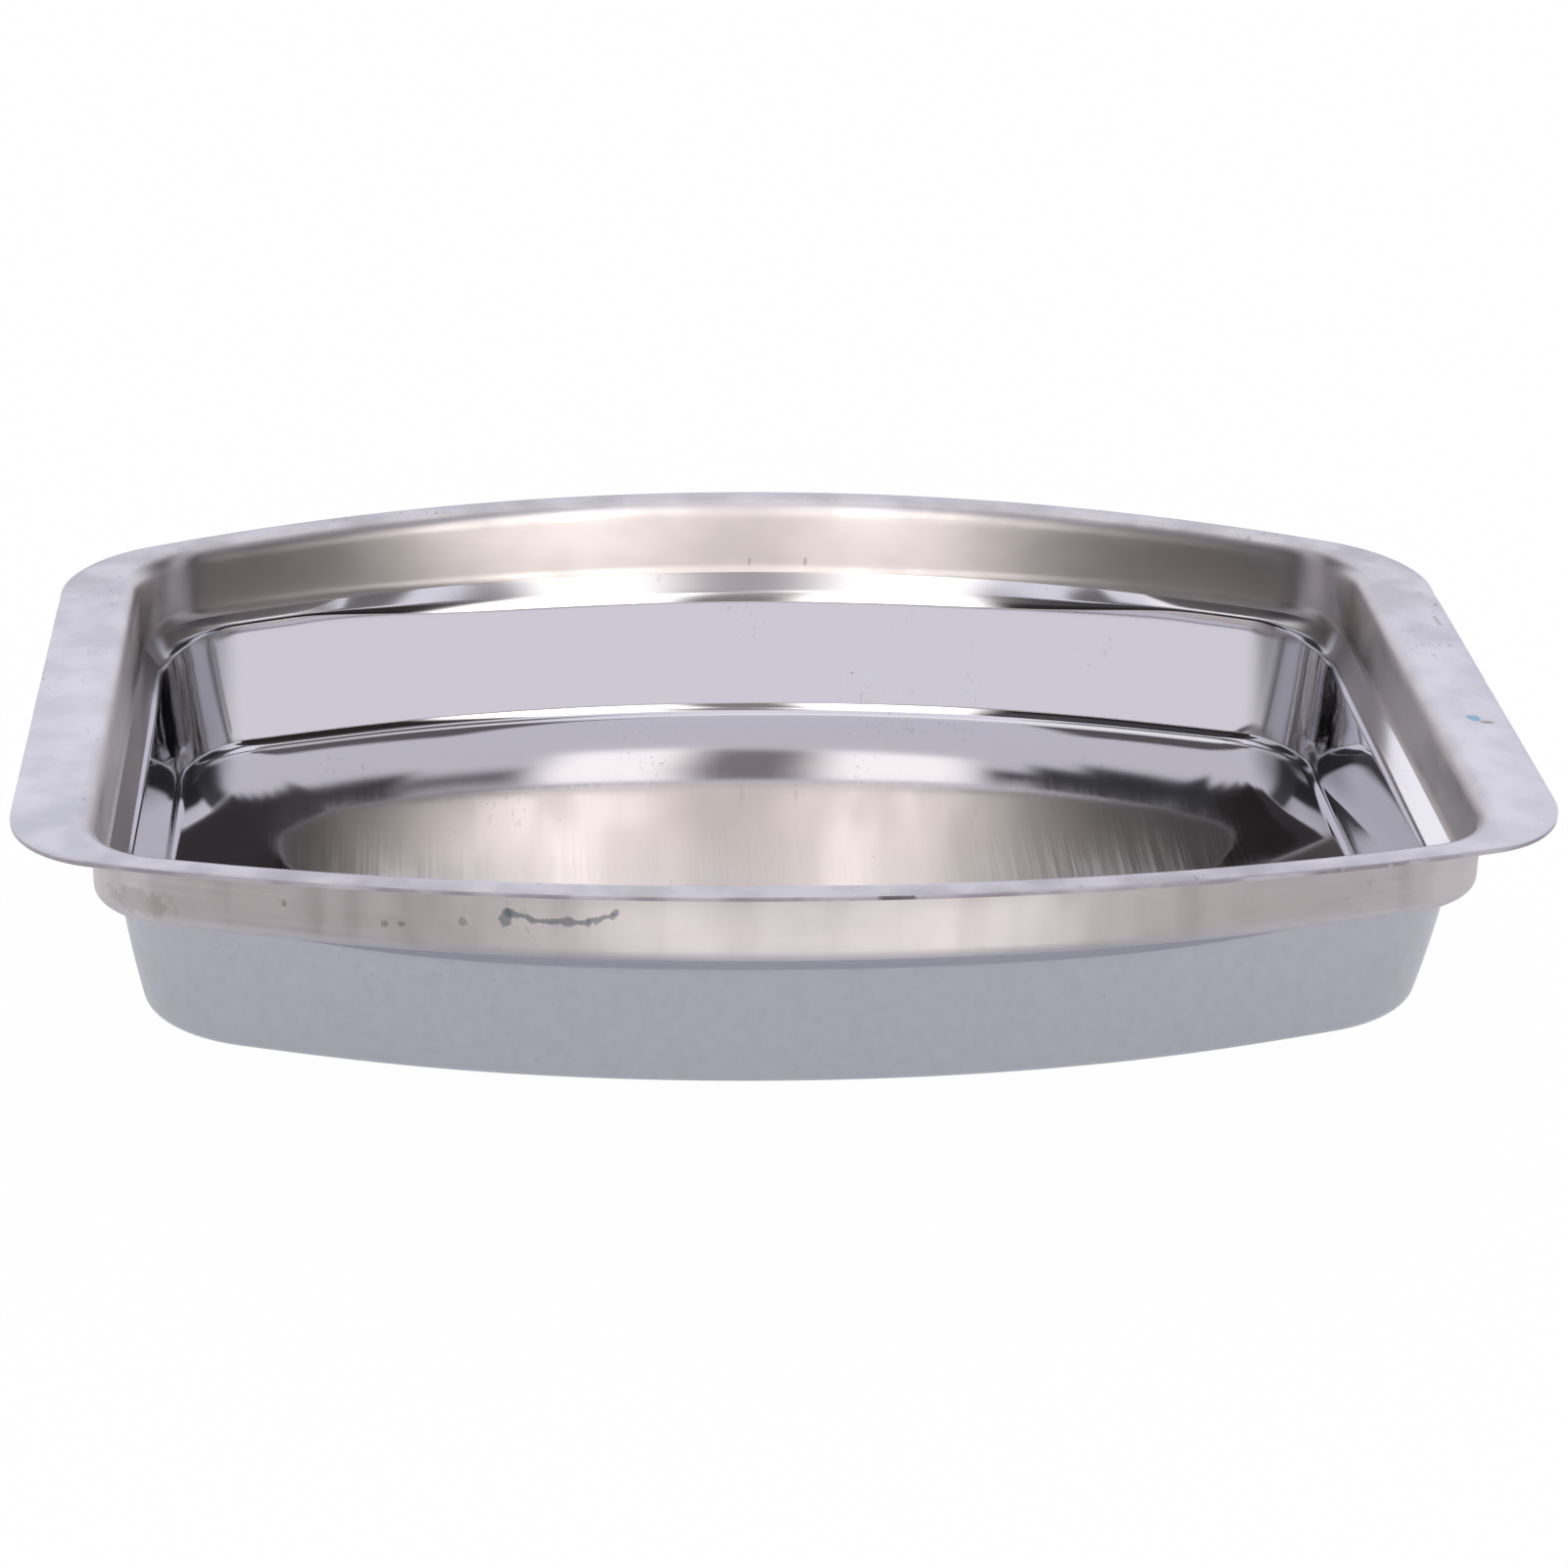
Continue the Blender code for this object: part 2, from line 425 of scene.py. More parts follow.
def eased(share):
    """A share from 0 to 1 that starts and ends level."""
    return share * share * (3 - 2 * share)


def flat_shares(ring):
    """Share of the flatter shoulder at each point of a ring.

    It grows along the long sides from their middle and is lost again round the corners.
    """
    quarter = [0.0] * SIDE_STEPS
    for step in range(CORNER_STEPS):
        quarter.append(eased(step / CORNER_STEPS))
    for x, _, _ in ring[len(quarter):len(quarter) + BOW_STEPS + 1]:
        quarter.append(eased(min(1.0, abs(x) / FLAT_PLACE) ** FLAT_RISE))
    half = quarter + quarter[-2::-1]
    return half + half[1:-1]


def tray_rings():
    """Every ring of the inner face with its section, from the cut edge in to the pad."""
    walls = []
    soft_form = wall_rings(SHOULDER_DROP, SHOULDER_ROLL_RADIUS)
    flat_form = wall_rings(FLAT_SHOULDER_DROP, FLAT_ROLL_RADIUS)
    for (soft, section), (flat, _) in zip(soft_form, flat_form):
        ring = []
        for first, second, share in zip(soft, flat, flat_shares(soft)):
            ring.append(tuple(blend(a, b, share) for a, b in zip(first, second)))
        walls.append((ring, section))
    flange_inner = [point[:2] for point in walls[0][0]]
    cut_edge = whole_ring(quarter_outline(LENGTH / 2, BOW_RADIUS, FLANGE_CORNER))
    flange = [(ragged(cut_edge, flange_inner), 0.0)]
    for step in range(1, FLANGE_STEPS):
        share = step / FLANGE_STEPS
        flange.append((between(cut_edge, flange_inner, share), share))
    rings = []
    for ring, section in flange:
        rings.append(([(x, y, RIM_HEIGHT - droop(x, RIM_HEIGHT)) for x, y in ring], section))
    for ring, section in walls:
        rings.append(([(x, y, height - droop(x, height)) for x, y, height in ring], section))
    pad = whole_ring(quarter_pad())
    floor_ring, floor_section = walls[-1]
    for step in range(DISH_STEPS - 1, -1, -1):
        share = step / DISH_STEPS
        ring = []
        for (x, y), edge in zip(pad, floor_ring):
            height = SHEET + (edge[2] - SHEET) * share ** DISH_CURVE
            ring.append((blend(x, edge[0], share), blend(y, edge[1], share), height))
        rings.append((ring, floor_section + 1 - share))
    return rings


def place_selected(mesh_data, ring, section):
    """Move the selected vertices, which carry their number along the ring, onto the ring."""
    mesh = bmesh.from_edit_mesh(mesh_data)
    number = mesh.verts.layers.int["number"]
    across = mesh.verts.layers.float["section"]
    for vertex in mesh.verts:
        if vertex.select:
            vertex.co = ring[vertex[number]]
            vertex[across] = section
    bmesh.update_edit_mesh(mesh_data)


def model_sheet(materials):
    """Draw the cut edge, extrude it ring by ring down to the pad, close it and thicken it.

    The materials are, in order: rim, inner pan, outer band, outer pan and cut edge.
    """
    rings = tray_rings()
    bpy.ops.object.select_all(action="DESELECT")
    bpy.ops.mesh.primitive_circle_add(vertices=len(rings[0][0]), radius=LENGTH / 2)
    tray = bpy.context.object
    tray.name = "pressed_sheet"
    bpy.ops.object.mode_set(mode="EDIT")
    mesh = bmesh.from_edit_mesh(tray.data)
    mesh.verts.layers.float.new("section")
    number = mesh.verts.layers.int.new("number")
    for index, vertex in enumerate(mesh.verts):
        vertex[number] = index
    place_selected(tray.data, *rings[0])
    for ring, section in rings[1:]:
        bpy.ops.mesh.extrude_region_move()
        place_selected(tray.data, ring, section)
    bpy.ops.mesh.edge_face_add()
    bpy.ops.mesh.select_all(action="SELECT")
    bpy.ops.mesh.normals_make_consistent(inside=False)
    mesh = bmesh.from_edit_mesh(tray.data)
    if max(mesh.faces, key=lambda face: face.calc_area()).normal.z < 0:
        bpy.ops.mesh.flip_normals()
    across = mesh.verts.layers.float["section"]
    for face in mesh.faces:
        face.material_index = int(min(vertex[across] for vertex in face.verts) > BAND_FOOT)
    bmesh.update_edit_mesh(tray.data)
    bpy.ops.object.mode_set(mode="OBJECT")
    for material in materials:
        tray.data.materials.append(material)
    thicken = tray.modifiers.new("sheet thickness", "SOLIDIFY")
    thicken.thickness = SHEET
    thicken.offset = -1.0
    thicken.use_even_offset = True
    thicken.material_offset = OUTSIDE_OFFSET
    thicken.material_offset_rim = CUT_EDGE_OFFSET
    bpy.ops.object.modifier_apply(modifier=thicken.name)
    soften = tray.modifiers.new("cut edge rounding", "BEVEL")
    soften.width = EDGE_ROUNDING
    soften.segments = EDGE_SEGMENTS
    soften.limit_method = "ANGLE"
    soften.angle_limit = EDGE_ANGLE
    bpy.ops.object.modifier_apply(modifier=soften.name)
    bpy.ops.object.shade_smooth_by_angle(angle=SMOOTH_ANGLE)
    return tray


# Node helpers


def link_value(tree, value, socket):
    """Link another node's output to a socket, or set the socket to a plain value."""
    if isinstance(value, bpy.types.NodeSocket):
        tree.links.new(value, socket)
    else:
        socket.default_value = value


def maths(tree, operation, first, second=0.0):
    """One operation on two values."""
    node = tree.nodes.new("ShaderNodeMath")
    node.operation = operation
    link_value(tree, first, node.inputs[0])
    link_value(tree, second, node.inputs[1])
    return node.outputs[0]


def scaled(tree, value, factor):
    """A value times a factor."""
    return maths(tree, "MULTIPLY", value, factor)


def level(tree, base, *parts):
    """A base value with other values added to it."""
    for part in parts:
        base = maths(tree, "ADD", part, base)
    return base


def vector_maths(tree, operation, first, second):
    """One operation on two vectors."""
    node = tree.nodes.new("ShaderNodeVectorMath")
    node.operation = operation
    link_value(tree, first, node.inputs[0])
    link_value(tree, second, node.inputs[1])
    return node.outputs["Value" if operation == "LENGTH" else "Vector"]


def rise(tree, value, low, high, start=0.0, end=1.0):
    """A smooth step from start to end while the value goes from low to high."""
    node = tree.nodes.new("ShaderNodeMapRange")
    node.interpolation_type = "SMOOTHSTEP"
    link_value(tree, value, node.inputs["Value"])
    link_value(tree, low, node.inputs["From Min"])
    link_value(tree, high, node.inputs["From Max"])
    link_value(tree, start, node.inputs["To Min"])
    link_value(tree, end, node.inputs["To Max"])
    return node.outputs["Result"]


def cloud(tree, vector, stretch, detail=2.0):
    """Noise with its own number of cells to the metre along each axis."""
    node = tree.nodes.new("ShaderNodeTexNoise")
    node.inputs["Scale"].default_value = 1.0
    node.inputs["Detail"].default_value = detail
    tree.links.new(vector_maths(tree, "MULTIPLY", vector, stretch), node.inputs["Vector"])
    return node.outputs["Fac"]


def mix_colours(tree, share, first, second, blending="MIX"):
    """The first colour with a share of the second laid over it."""
    node = tree.nodes.new("ShaderNodeMix")
    node.data_type = "RGBA"
    node.blend_type = blending
    link_value(tree, share, node.inputs["Factor"])
    for value, socket in ((first, node.inputs["A"]), (second, node.inputs["B"])):
        link_value(tree, (*value, 1.0) if isinstance(value, tuple) else value, socket)
    return node.outputs["Result"]


def new_group(name, inputs, outputs):
    """An empty node group with its named sockets, and the ends to link inside it."""
    group = bpy.data.node_groups.new(name, "ShaderNodeTree")
    for label, kind in inputs:
        group.interface.new_socket(label, in_out="INPUT", socket_type=kind)
    for label in outputs:
        group.interface.new_socket(label, in_out="OUTPUT", socket_type="NodeSocketFloat")
    given = group.nodes.new("NodeGroupInput").outputs
    result = group.nodes.new("NodeGroupOutput").inputs
    return group, given, result


def place_group(tree, group, **values):
    """Put a group into a material and set or link its inputs by name."""
    node = tree.nodes.new("ShaderNodeGroup")
    node.node_tree = group
    for label, value in values.items():
        link_value(tree, value, node.inputs[label.replace("_", " ").capitalize()])
    return node.outputs


# Effects shared by the finishes


def painted_sheen_group():
    """Painted sheen: brighter along the middle of the long sides and darker towards the ends, standing in
    for reflected light, with a small random mottle in the metal's tone.
    """
    group, given, result = new_group(
        "painted_sheen",
        [("Vector", "NodeSocketVector"), ("Middle", "NodeSocketFloat"), ("Ends", "NodeSocketFloat")],
        ["Tone"])
    split = group.nodes.new("ShaderNodeSeparateXYZ")
    group.links.new(given["Vector"], split.inputs[0])
    drift = maths(group, "SUBTRACT", cloud(group, given["Vector"], DRIFT_CELLS), 0.5)
    drift = scaled(group, drift, SHEEN_DRIFT)
    away = maths(group, "ADD", maths(group, "ABSOLUTE", split.outputs["X"]), drift)
    sheen_tone = rise(group, away, *SHEEN_FADE, given["Middle"], given["Ends"])
    mottle = rise(group, cloud(group, given["Vector"], MOTTLE_CELLS, 2.0), 0.25, 0.75, 0.96, 1.03)
    group.links.new(scaled(group, sheen_tone, mottle), result["Tone"])
    return group


def polish_lines_group():
    """Fine lines that polishing leaves round the band, and upright smears from the die."""
    group, given, result = new_group("polish_lines", [("Vector", "NodeSocketVector")], ["Lines", "Smears"])
    group.links.new(cloud(group, given["Vector"], LINE_CELLS, 2.0), result["Lines"])
    group.links.new(cloud(group, given["Vector"], SMEAR_CELLS, 3.0), result["Smears"])
    return group


def waves_group():
    """Slight waves that pressing leaves in a smooth sheet."""
    group, given, result = new_group("waves", [("Vector", "NodeSocketVector")], ["Waves"])
    group.links.new(cloud(group, given["Vector"], WAVE_CELLS, 1.0), result["Waves"])
    return group


def flecks_group():
    """Short dark flecks and scratches, gathered in patches."""
    group, given, result = new_group(
        "flecks", [("Vector", "NodeSocketVector"), ("Amount", "NodeSocketFloat")], ["Flecks"])
    short = rise(group, cloud(group, given["Vector"], FLECK_CELLS, 2.0), *FLECK_CUT)
    patchy = rise(group, cloud(group, given["Vector"], FLECK_PATCH_CELLS, 2.0), *FLECK_PATCH_CUT)
    flecks = scaled(group, scaled(group, short, patchy), given["Amount"])
    group.links.new(flecks, result["Flecks"])
    return group


def specks_group():
    """Single small specks of dust and pits, far apart."""
    group, given, result = new_group(
        "specks", [("Vector", "NodeSocketVector"), ("Amount", "NodeSocketFloat")], ["Specks"])
    cells = group.nodes.new("ShaderNodeTexVoronoi")
    cells.inputs["Scale"].default_value = SPECK_CELLS
    group.links.new(given["Vector"], cells.inputs["Vector"])
    spot = rise(group, cells.outputs["Distance"], *SPECK_FADE, 1.0, 0.0)
    split = group.nodes.new("ShaderNodeSeparateColor")
    group.links.new(cells.outputs["Color"], split.inputs[0])
    keep = rise(group, split.outputs["Red"], *SPECK_CUT)
    specks = scaled(group, scaled(group, spot, keep), given["Amount"])
    group.links.new(specks, result["Specks"])
    return group


def mark_and_shade_blot_group():
    """One smudge, nick or scratch, or a patch of painted shade: a blot with a frayed outline about its
    centre.
    """
    group, given, result = new_group(
        "mark_and_shade_blot",
        [("Vector", "NodeSocketVector"), ("Centre", "NodeSocketVector"), ("Reach", "NodeSocketVector")],
        ["Mark"])
    offset = vector_maths(group, "SUBTRACT", given["Vector"], given["Centre"])
    away = vector_maths(group, "DIVIDE", offset, given["Reach"])
    frayed = maths(group, "SUBTRACT", cloud(group, given["Vector"], FRAY_CELLS, 3.0), 0.5)
    distance = vector_maths(group, "LENGTH", away, (0.0, 0.0, 0.0))
    distance = maths(group, "ADD", distance, scaled(group, frayed, MARK_FRAY))
    group.links.new(rise(group, distance, *MARK_FADE, 1.0, 0.0), result["Mark"])
    return group


# Finishes


def steel_material(name):
    """A metal material, its shader and the two things every finish reads: place and section."""
    material = bpy.data.materials.new(name)
    material.use_nodes = True
    tree = material.node_tree
    shader = tree.nodes["Principled BSDF"]
    shader.inputs["Metallic"].default_value = 1.0
    place = tree.nodes.new("ShaderNodeTexCoord").outputs["Object"]
    across = tree.nodes.new("ShaderNodeAttribute")
    across.attribute_name = "section"
    return material, tree, shader, place, across.outputs["Fac"]


def polish_round(shader):
    """Polishing lines that run round the tray spread a reflection across themselves."""
    shader.inputs["Anisotropic"].default_value = POLISH_SPREAD
    shader.inputs["Anisotropic Rotation"].default_value = POLISH_TURN


def add_marks(tree, effects, place, colour, marks):
    """Lay marks over a colour. Each mark is its centre and reach in millimetres, strength and colour."""
    for centre, reach, strength, tint in marks:
        mark = place_group(tree, effects["mark"], vector=place,
                           centre=Vector(centre) / MM_PER_METRE, reach=Vector(reach) / MM_PER_METRE)
        colour = mix_colours(tree, scaled(tree, mark["Mark"], strength), colour, tint)
    return colour


def smudge_stroke(tree, place):
    """Mask of the long smudge on the front band: a wavering line that sags in its middle."""
    split = tree.nodes.new("ShaderNodeSeparateXYZ")
    tree.links.new(place, split.inputs[0])
    along = maths(tree, "SUBTRACT", split.outputs["X"], SMUDGE_START)
    along = maths(tree, "DIVIDE", along, SMUDGE_LENGTH)
    sag = scaled(tree, maths(tree, "SINE", scaled(tree, along, math.pi)), SMUDGE_SAG)
    waver = maths(tree, "SUBTRACT", cloud(tree, place, WAVER_CELLS, 2.0), 0.5)
    line = level(tree, SMUDGE_HEIGHT, scaled(tree, sag, -1.0), scaled(tree, waver, SMUDGE_SAG))
    away = maths(tree, "ABSOLUTE", maths(tree, "SUBTRACT", split.outputs["Z"], line))
    width = rise(tree, cloud(tree, place, STROKE_CELLS, 2.0),
                 NOISE_LOW, NOISE_HIGH, 0.15 * SMUDGE_WIDTH, SMUDGE_WIDTH)
    stroke = rise(tree, maths(tree, "DIVIDE", away, width), 0.5, 1.1, 1.0, 0.0)
    ends = scaled(tree, rise(tree, along, 0.0, 0.06), rise(tree, along, 0.94, 1.0, 1.0, 0.0))
    front = rise(tree, split.outputs["Y"], -0.001, 0.0, 1.0, 0.0)
    return scaled(tree, scaled(tree, stroke, ends), front)


def dull_and_painted_dark_corner(tree, place):
    """Mask of the pan's four corners, which drawing leaves duller than the sides; their darker colour is a
    painted dark reflection.
    """
    split = tree.nodes.new("ShaderNodeSeparateXYZ")
    tree.links.new(place, split.inputs[0])
    along = rise(tree, maths(tree, "ABSOLUTE", split.outputs["X"]), *CORNER_ALONG)
    out = rise(tree, maths(tree, "ABSOLUTE", split.outputs["Y"]), *CORNER_ACROSS)
    return scaled(tree, along, out)


def raise_relief(tree, shader, height, depth):
    """Relief in the surface, where a height of 1 stands out by the depth."""
    bump = tree.nodes.new("ShaderNodeBump")
    bump.inputs["Strength"].default_value = 1.0
    bump.inputs["Distance"].default_value = depth
    tree.links.new(height, bump.inputs["Height"])
    tree.links.new(bump.outputs["Normal"], shader.inputs["Normal"])


def rim_steel(effects):
    """Upper face of the flange and the satin band under it."""
    material, tree, shader, place, section = steel_material("rim_steel")
    polish_round(shader)
    band = rise(tree, section, *BAND_START)
    flange = rise(tree, section, *FLANGE_FADE, 1.0, 0.0)
    # painted sheen: the inner band is painted brighter along its middle and darker towards its ends
    sheen_tone = place_group(tree, effects["sheen_tone"], vector=place, middle=1.0, ends=0.60)["Tone"]
    polish = place_group(tree, effects["polish"], vector=place)
    flecks = place_group(tree, effects["flecks"], vector=place, amount=0.8)["Flecks"]
    flecks = scaled(tree, flecks, flange)
    specks = place_group(tree, effects["specks"], vector=place, amount=0.5)["Specks"]
    clouds = cloud(tree, place, WING_CELLS, 5.0)

    wing = mix_colours(tree, rise(tree, clouds, NOISE_LOW, NOISE_HIGH), WING_DULL, WING_TINT)
    satin = mix_colours(tree, 1.0, BAND_TINT, sheen_tone, "MULTIPLY")
    colour = mix_colours(tree, band, wing, satin)
    colour = mix_colours(tree, flecks, colour, SCRATCH_GREY)
    colour = mix_colours(tree, specks, colour, STAIN_BROWN)
    colour = add_marks(tree, effects, place, colour, INSIDE_MARKS)
    tree.links.new(colour, shader.inputs["Base Color"])

    roughness = rise(tree, clouds, NOISE_LOW, NOISE_HIGH, *WING_ROUGHNESS)
    satin = scaled(tree, band, rise(tree, polish["Lines"], NOISE_LOW, NOISE_HIGH, *SATIN_ROUGHNESS))
    roughness = level(tree, roughness, satin, scaled(tree, flecks, 0.15))
    tree.links.new(roughness, shader.inputs["Roughness"])

    height = scaled(tree, scaled(tree, polish["Lines"], band), 0.25)
    cloudy = scaled(tree, scaled(tree, clouds, flange), 1.5)
    height = level(tree, height, cloudy, scaled(tree, flecks, -1.0))
    raise_relief(tree, shader, height, RELIEF)
    return material


def pan_steel(effects):
    """Mirror wall and polished floor of the inner pan."""
    material, tree, shader, place, section = steel_material("pan_steel")
    floor = rise(tree, section, *FLOOR_START)
    worn = rise(tree, section, *WORN_START)
    specks = place_group(tree, effects["specks"], vector=place, amount=0.55)["Specks"]
    flecks = place_group(tree, effects["flecks"], vector=place, amount=0.25)["Flecks"]
    waves = place_group(tree, effects["waves"], vector=place)["Waves"]
    grain = cloud(tree, place, GRAIN_CELLS, 2.0)
    roll = rise(tree, section, *ROLL_FADE, 1.0, 0.0)
    corner = dull_and_painted_dark_corner(tree, place)

    colour = mix_colours(tree, floor, WALL_TINT, FLOOR_TINT)
    # painted dark reflection: the pan's corners are painted darker than its sides
    colour = mix_colours(tree, corner, colour, CORNER_PAINTED_DARK)
    colour = mix_colours(tree, flecks, colour, SCRATCH_GREY)
    colour = mix_colours(tree, specks, colour, STAIN_BROWN)
    tree.links.new(colour, shader.inputs["Base Color"])

    roughness = level(tree, PAN_ROUGHNESS, scaled(tree, flecks, 0.2), scaled(tree, specks, 0.3))
    grain_roughness = rise(tree, grain, NOISE_LOW, NOISE_HIGH, *WORN_ROUGHNESS)
    roughness = level(tree, roughness, scaled(tree, worn, grain_roughness))
    roughness = level(tree, roughness, scaled(tree, roll, ROLL_DULLNESS))
    roughness = level(tree, roughness, scaled(tree, corner, CORNER_DULLNESS))
    tree.links.new(roughness, shader.inputs["Roughness"])

    height = level(tree, scaled(tree, waves, 3.0), scaled(tree, scaled(tree, worn, grain), 0.5))
    raise_relief(tree, shader, level(tree, height, scaled(tree, flecks, -0.8)), RELIEF)
    return material


def outer_band_steel(effects):
    """Underside of the flange and the satin band outside, with its smudges and smears."""
    material, tree, shader, place, section = steel_material("outer_band_steel")
    polish_round(shader)
    # painted sheen: the outer band is painted a little brighter along its middle than at its ends
    sheen_tone = place_group(tree, effects["sheen_tone"], vector=place, middle=1.0, ends=0.92)["Tone"]
    polish = place_group(tree, effects["polish"], vector=place)
    flecks = place_group(tree, effects["flecks"], vector=place, amount=0.25)["Flecks"]
    specks = place_group(tree, effects["specks"], vector=place, amount=0.4)["Specks"]

    satin = mix_colours(tree, 1.0, OUTER_BAND_TINT, sheen_tone, "MULTIPLY")
    smears = rise(tree, polish["Smears"], *SMEAR_CUT, 0.0, SMEAR_SHARE)
    colour = mix_colours(tree, smears, satin, OUTER_BAND_DULL)
    # the band's foot fades into the lower wall's painted blue-grey shade
    colour = mix_colours(tree, rise(tree, section, *OUTER_BAND_FADE, 0.0, 0.8), colour, OUTER_PAN_SHADED_TINT)
    colour = mix_colours(tree, flecks, colour, SCRATCH_GREY)
    colour = mix_colours(tree, specks, colour, STAIN_BROWN)
    colour = add_marks(tree, effects, place, colour, OUTSIDE_MARKS)
    smudge = scaled(tree, smudge_stroke(tree, place), SMUDGE_STRENGTH)
    colour = mix_colours(tree, smudge, colour, SMUDGE_BLUE)
    tree.links.new(colour, shader.inputs["Base Color"])

    roughness = rise(tree, polish["Lines"], NOISE_LOW, NOISE_HIGH, *OUTER_BAND_ROUGHNESS)
    roughness = level(tree, roughness, scaled(tree, smears, 0.2))
    tree.links.new(roughness, shader.inputs["Roughness"])
    height = level(tree, scaled(tree, polish["Lines"], 0.25), scaled(tree, polish["Smears"], 1.5))
    raise_relief(tree, shader, height, RELIEF)
    return material


def outer_pan_steel(effects):
    """Hazy lower wall and underside, painted a darker blue-grey than the inner steel: painted shade of the
    shaded table they mirror.
    """
    material, tree, shader, place, _ = steel_material("outer_pan_steel")
    specks = place_group(tree, effects["specks"], vector=place, amount=0.35)["Specks"]
    flecks = place_group(tree, effects["flecks"], vector=place, amount=0.2)["Flecks"]
    waves = place_group(tree, effects["waves"], vector=place)["Waves"]
    haze = cloud(tree, place, HAZE_CELLS, 4.0)

    # painted shade: the lower wall's blue-grey, darker than the inner steel, stands in for the shaded
    # table it mirrors
    colour = mix_colours(tree, rise(tree, haze, NOISE_LOW, NOISE_HIGH), OUTER_PAN_SHADED_DULL, OUTER_PAN_SHADED_TINT)
    colour = mix_colours(tree, flecks, colour, SCRATCH_GREY)
    colour = mix_colours(tree, specks, colour, STAIN_BROWN)
    tree.links.new(colour, shader.inputs["Base Color"])

    roughness = rise(tree, haze, NOISE_LOW, NOISE_HIGH, *OUTER_PAN_ROUGHNESS)
    tree.links.new(roughness, shader.inputs["Roughness"])
    raise_relief(tree, shader, level(tree, scaled(tree, waves, 2.0), scaled(tree, haze, 1.0)), RELIEF)
    return material


def cut_edge_steel(effects):
    """The sheared edge of the sheet, darker and rougher than its faces."""
    material, tree, shader, place, _ = steel_material("cut_edge_steel")
    mottle = cloud(tree, place, EDGE_CELLS, 4.0)
    specks = place_group(tree, effects["specks"], vector=place, amount=0.6)["Specks"]
    colour = mix_colours(tree, rise(tree, mottle, *EDGE_CUT), CUT_EDGE_DULL, CUT_EDGE_TINT)
    colour = mix_colours(tree, specks, colour, CUT_EDGE_PIT)
    colour = add_marks(tree, effects, place, colour, EDGE_MARKS)
    tree.links.new(colour, shader.inputs["Base Color"])
    roughness = rise(tree, mottle, NOISE_LOW, NOISE_HIGH, *CUT_EDGE_ROUGHNESS)
    tree.links.new(roughness, shader.inputs["Roughness"])
    raise_relief(tree, shader, mottle, EDGE_RELIEF)
    return material


# Studio


def soft_patch(tree, heading, height, patch):
    """Mask of a soft patch: left and right heading, their softness, low, high and theirs, in degrees."""
    left, right, side_soft, low, high, end_soft = [math.radians(value) for value in patch]
    masks = []
    for angle, start, end, soft in ((heading, left, right, side_soft), (height, low, high, end_soft)):
        away = maths(tree, "ABSOLUTE", maths(tree, "SUBTRACT", angle, (start + end) / 2))
        half = (end - start) / 2
        masks.append(rise(tree, away, half - soft, half + soft, 1.0, 0.0))
    return scaled(tree, *masks)


def behind(half_width, side_soft, low, high, end_soft, tint):
    """A panel straight behind the tray, laid from both sides, as headings meet there at 180 degrees."""
    limits = (side_soft, low, high, end_soft)
    return [
        ((180.0 - half_width, 180.0 + half_width, *limits), tint),
        ((-180.0 - half_width, half_width - 180.0, *limits), tint),
    ]


def slanted_ends():
    """Steps that end the dark front on the right and on the left."""
    panels = []
    for step in range(FRONT_END_STEPS):
        right = RIGHT_END[0] + RIGHT_STEP[0] * step
        right_top = RIGHT_END[1] - RIGHT_STEP[1] * step
        left = LEFT_END[0] - LEFT_STEP[0] * step
        left_top = LEFT_END[1] - LEFT_STEP[1] * step
        panels.append(((40.0, right, 1.2, 20.0, right_top, 0.9), FRONT_DARK))
        panels.append(((left, -30.0, 1.5, 20.0, left_top, 0.6), FRONT_DARK))
    return panels


def studio_panels():
    """Panels round the tray, as soft_patch reads them, each with its colour. Later ones lie on top.

    Heading 0 is the camera's side, and headings to the right of the picture are positive.
    """
    sides = [
        ((81.0, 122.0, 5.0, 20.0, 54.0, 5.0), SIDE_DARK),
        ((-122.0, -85.0, 4.0, 20.0, 54.0, 5.0), SIDE_DARK),
        ((60.0, 129.0, 4.0, 46.0, 56.0, 2.0), SIDE_GREY),
        ((-129.0, -60.0, 4.0, 48.0, 58.0, 2.0), SIDE_GREY),
        ((44.0, 120.0, 3.0, 71.5, 82.0, 1.0), RIGHT_TOP_GREY),
        ((-120.0, -26.0, 3.0, 72.8, 82.0, 1.0), LEFT_TOP_GREY),
    ]
    front = [
        ((-50.0, 51.0, 1.0, 3.0, 63.4, 0.8), FRONT_BLACK),
        ((26.0, 40.0, 3.0, 55.0, 64.7, 0.7), FRONT_RIGHT_GREY),
        ((39.0, 51.0, 2.0, 50.0, 65.4, 0.5), FRONT_EDGE_DARK),
        ((-36.0, -23.0, 1.5, 30.0, 67.5, 0.5), SIDE_DARK),
        ((-25.0, -17.0, 1.5, 30.0, 66.5, 0.5), FRONT_LEFT_DARK),
        ((-19.0, -12.0, 1.5, 30.0, 65.3, 0.5), FRONT_EDGE_DARK),
    ]
    lamps = [
        ((-10.0, 23.0, 2.5, 3.0, 63.0, 2.0), FRONT_LAMP),
        ((-10.5, 25.0, 3.0, 58.0, 66.6, 0.5), FRONT_LAMP_TOP),
        ((0.5, 8.2, 2.2, 3.0, 49.0, 3.0), LAMP_GAP),
        ((2.5, 13.0, 3.5, 48.0, 66.6, 0.5), LAMP_GAP_TOP),
    ]
    low_back = behind(60.0, 6.0, 9.0, 33.0, 6.0, BACK_PALE)
    high_back = behind(52.0, 6.0, 42.0, 74.0, 6.0, BACK_DARK)
    back_lamp = behind(26.0, 8.0, 40.0, 80.0, 8.0, BACK_LAMP)
    return low_back + sides + slanted_ends() + front + lamps + high_back + back_lamp


